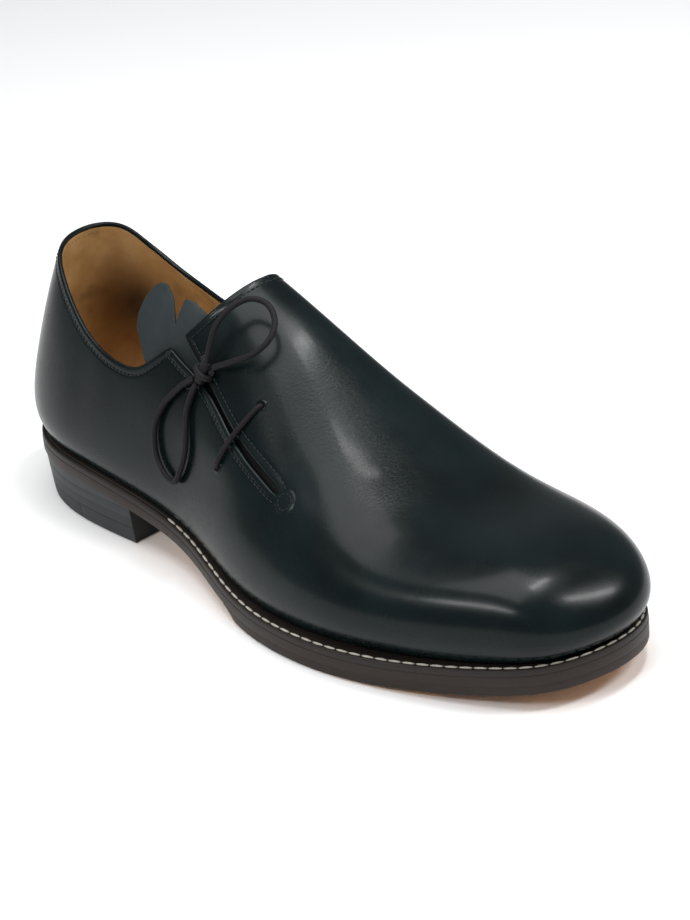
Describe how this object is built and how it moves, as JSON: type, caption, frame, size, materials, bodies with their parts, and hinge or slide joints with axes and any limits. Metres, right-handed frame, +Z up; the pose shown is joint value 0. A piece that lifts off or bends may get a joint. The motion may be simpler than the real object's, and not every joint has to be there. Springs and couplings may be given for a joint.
{
  "type": "haferl shoe",
  "caption": "Low black leather mountain shoe laced down its outer side, with a welted leather sole, a stacked heel and an open collar.",
  "frame": {"origin": "middle of the heel's level underside, on the floor", "axes": "+X towards the toe, +Y towards the inner side of the foot, +Z up"},
  "size_m": [0.3029, 0.1081, 0.1098],
  "materials": {
    "upper_leather": "smooth black calf, semi-gloss",
    "tongue_leather": "dark grey calf, matt",
    "lining_leather": "tan lining leather, matt",
    "welt_leather": "black dyed welt, stitched",
    "sole_leather": "tan sole leather with dark dyed edge",
    "heel_leather": "stacked leather, dark dyed edge",
    "heel_rubber": "black rubber top piece",
    "lace": "round braided black lace"
  },
  "bodies": {
    "root": {"upper": "upper_leather", "back_strip": "upper_leather", "tongue": "tongue_leather", "insole": "lining_leather", "welt": "welt_leather", "outsole": "sole_leather", "half_sole": "sole_leather", "heel_stack": "heel_leather", "heel_top_rubber": "heel_rubber", "heel_top_leather": "heel_leather", "lace_bar": "lace", "lace_knot": "lace", "lace_loop_upper": "lace", "lace_loop_lower": "lace"}
  },
  "joints": []
}
